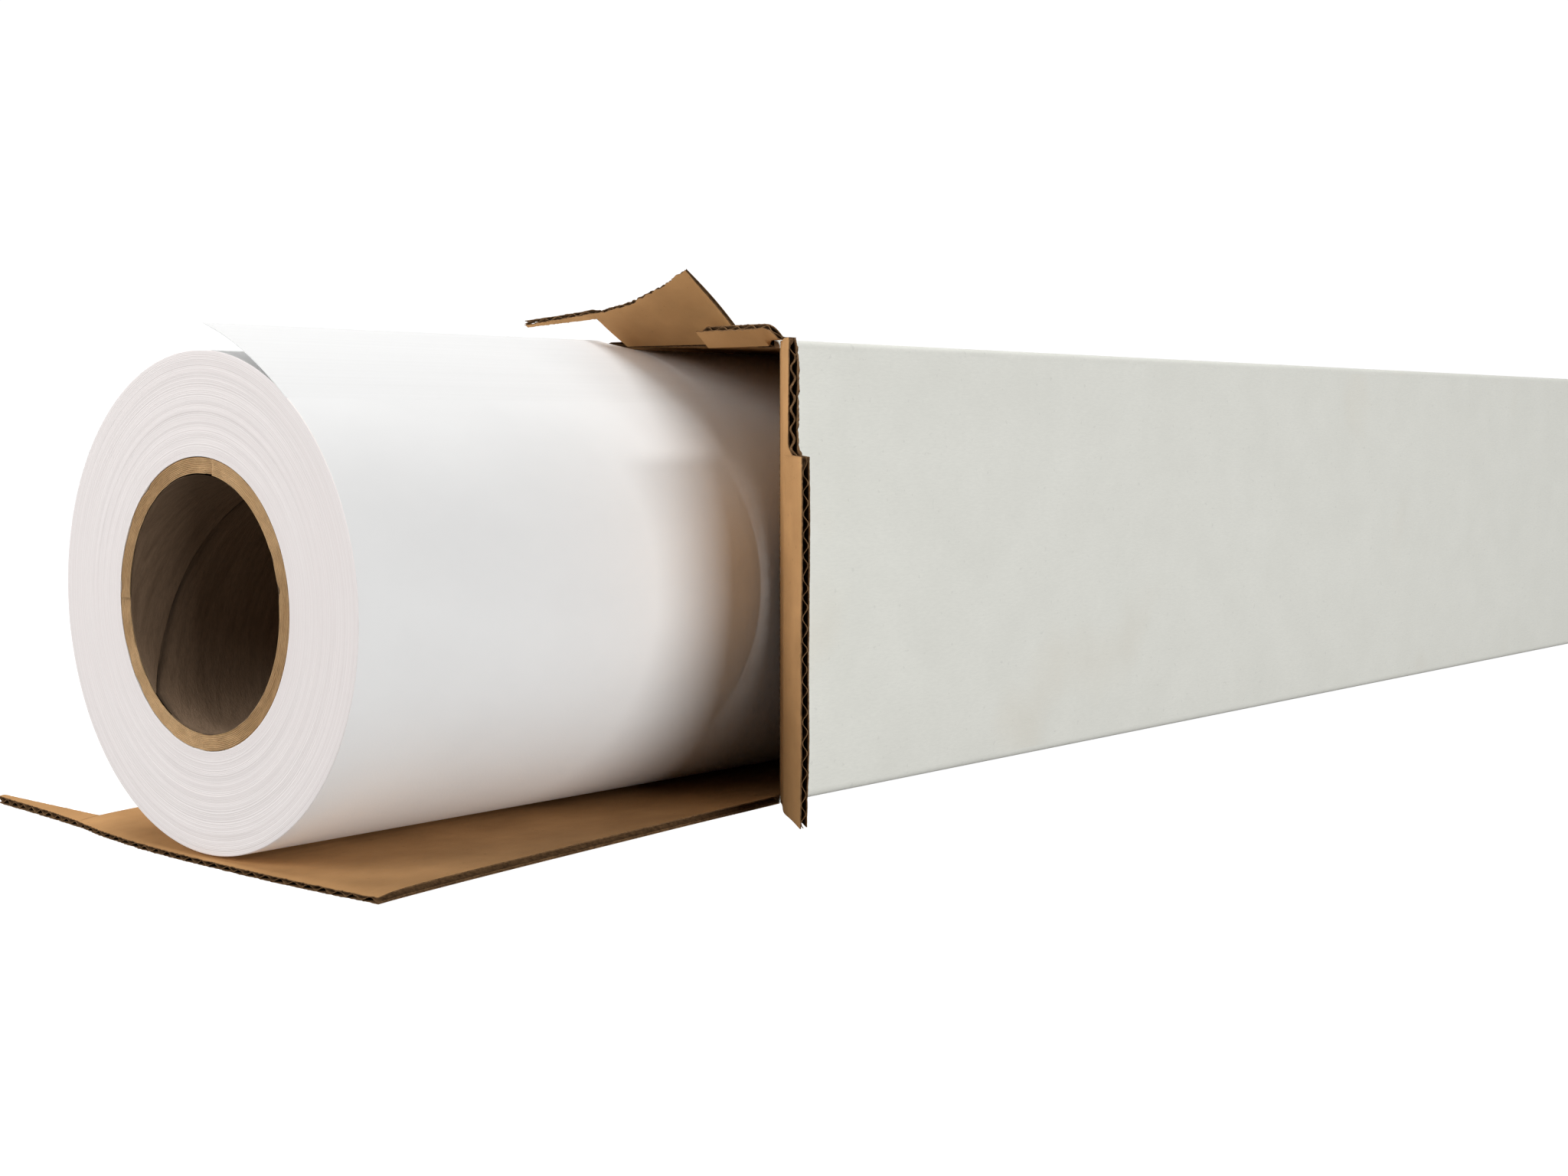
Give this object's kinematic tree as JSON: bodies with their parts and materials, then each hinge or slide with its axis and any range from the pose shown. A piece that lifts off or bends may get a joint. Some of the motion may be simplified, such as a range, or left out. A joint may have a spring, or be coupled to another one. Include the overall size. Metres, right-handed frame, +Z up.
{
  "type": "backdrop paper roll",
  "caption": "White studio backdrop paper on a cardboard core, standing part way out of its open corrugated carton with torn flaps.",
  "frame": {"origin": "centre of the paper roll's exposed end face, on the core's axis", "axes": "+X along the roll into the carton, +Y to the carton's far side, +Z up; the carton's base is flat on the ground"},
  "size_m": [1.5387, 0.2591, 0.1778],
  "materials": {
    "backdrop_paper": "matte",
    "core_board": "matte",
    "white_liner": "matte",
    "kraft_liner": "matte",
    "fluting": "matte",
    "tape": "satin"
  },
  "bodies": {
    "carton": {"bottom_wall_kraft_liner": "kraft_liner", "bottom_wall_fluting": "fluting", "bottom_wall_white_liner": "white_liner", "top_wall_kraft_liner": "kraft_liner", "top_wall_fluting": "fluting", "top_wall_white_liner": "white_liner", "near_wall_kraft_liner": "kraft_liner", "near_wall_fluting": "fluting", "near_wall_white_liner": "white_liner", "far_wall_kraft_liner": "kraft_liner", "far_wall_fluting": "fluting", "far_wall_white_liner": "white_liner", "end_near_flap_kraft_liner": "kraft_liner", "end_near_flap_fluting": "fluting", "end_near_flap_white_liner": "white_liner", "end_far_flap_kraft_liner": "kraft_liner", "end_far_flap_fluting": "fluting", "end_far_flap_white_liner": "white_liner", "end_top_flap_kraft_liner": "kraft_liner", "end_top_flap_fluting": "fluting", "end_top_flap_white_liner": "white_liner", "end_cover_kraft_liner": "kraft_liner", "end_cover_fluting": "fluting", "end_cover_white_liner": "white_liner", "glue_tab": "kraft_liner", "torn_stub": "kraft_liner", "end_tape": "tape"},
    "roll": {"core_tube": "core_board", "start_tape": "tape", "paper_winding": "backdrop_paper", "loose_end": "backdrop_paper"},
    "bottom_flap": {"bottom_flap_kraft_liner": "kraft_liner", "bottom_flap_fluting": "fluting", "bottom_flap_white_liner": "white_liner"},
    "top_flap": {"top_flap_kraft_liner": "kraft_liner", "top_flap_fluting": "fluting", "top_flap_white_liner": "white_liner"},
    "near_flap": {"near_flap_kraft_liner": "kraft_liner", "near_flap_fluting": "fluting", "near_flap_white_liner": "white_liner"},
    "far_flap": {"far_flap_kraft_liner": "kraft_liner", "far_flap_fluting": "fluting", "far_flap_white_liner": "white_liner"}
  },
  "joints": [
    {"name": "roll_slide", "type": "slide", "parent": "carton", "child": "roll", "axis": [1, 0, 0], "range_m": [-1.19, 0.166]},
    {"name": "bottom_flap_fold", "type": "hinge", "parent": "carton", "child": "bottom_flap", "pos_m": [0.1663, 0, -0.07745], "axis": [0, -1, 0], "range_deg": [0, 170]},
    {"name": "top_flap_fold", "type": "hinge", "parent": "carton", "child": "top_flap", "pos_m": [0.1753, -0.03, 0.08295], "axis": [0, 1, 0], "range_deg": [0, 135]},
    {"name": "near_flap_fold", "type": "hinge", "parent": "carton", "child": "near_flap", "pos_m": [0.1663, -0.0805, 0], "axis": [0, 0, 1], "range_deg": [-30, 118]},
    {"name": "far_flap_fold", "type": "hinge", "parent": "carton", "child": "far_flap", "pos_m": [0.1663, 0.0805, 0], "axis": [0, 0, -1], "range_deg": [-38, 110]}
  ]
}
